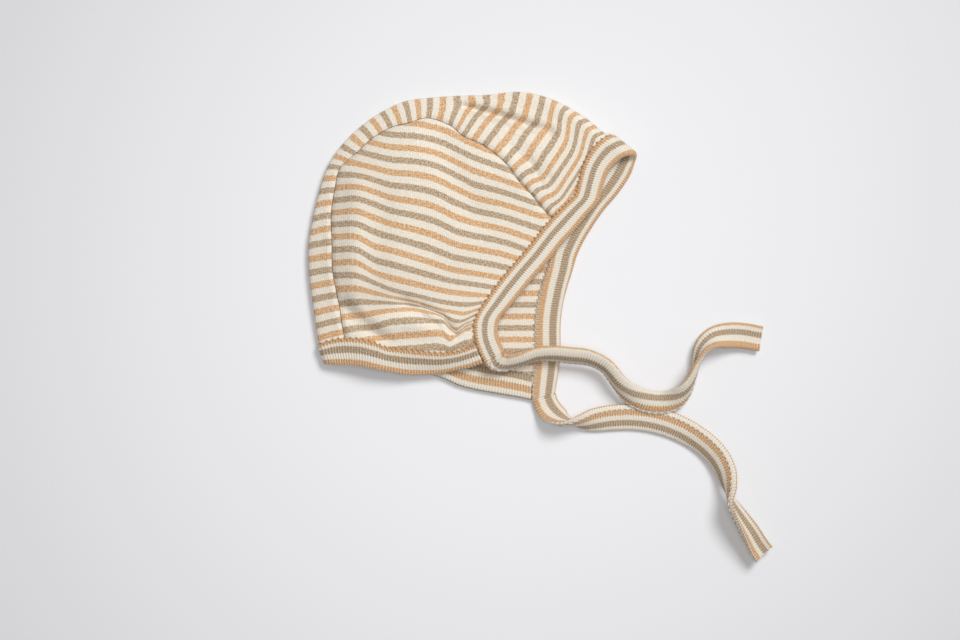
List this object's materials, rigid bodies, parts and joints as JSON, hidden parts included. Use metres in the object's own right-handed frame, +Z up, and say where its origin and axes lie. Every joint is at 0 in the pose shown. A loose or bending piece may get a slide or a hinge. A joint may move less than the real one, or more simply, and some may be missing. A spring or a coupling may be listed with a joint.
{
  "type": "baby bonnet",
  "caption": "Striped cotton baby bonnet lying on its side, with a centre panel, side panels, folded rib bands at face and neck, and chin ties spread out.",
  "frame": {"origin": "on the surface that the bonnet lies on, under the middle of its box without the ties", "axes": "+X from the nape towards the face, +Y from the neck edge towards the crown, +Z up through the bonnet, which lies on its left side"},
  "size_m": [0.2293, 0.2335, 0.0185],
  "materials": {
    "striped_jersey": "matte cotton single jersey, striped orange, cream and grey-brown",
    "striped_rib": "matte cotton rib, striped lengthwise orange, cream and grey-brown"
  },
  "bodies": {
    "root": {"crown_panel": "striped_jersey", "side_panel_right": "striped_jersey", "side_panel_left": "striped_jersey", "neck_band": "striped_rib", "face_binding": "striped_rib", "tie_right": "striped_rib", "tie_left": "striped_rib"}
  },
  "joints": []
}
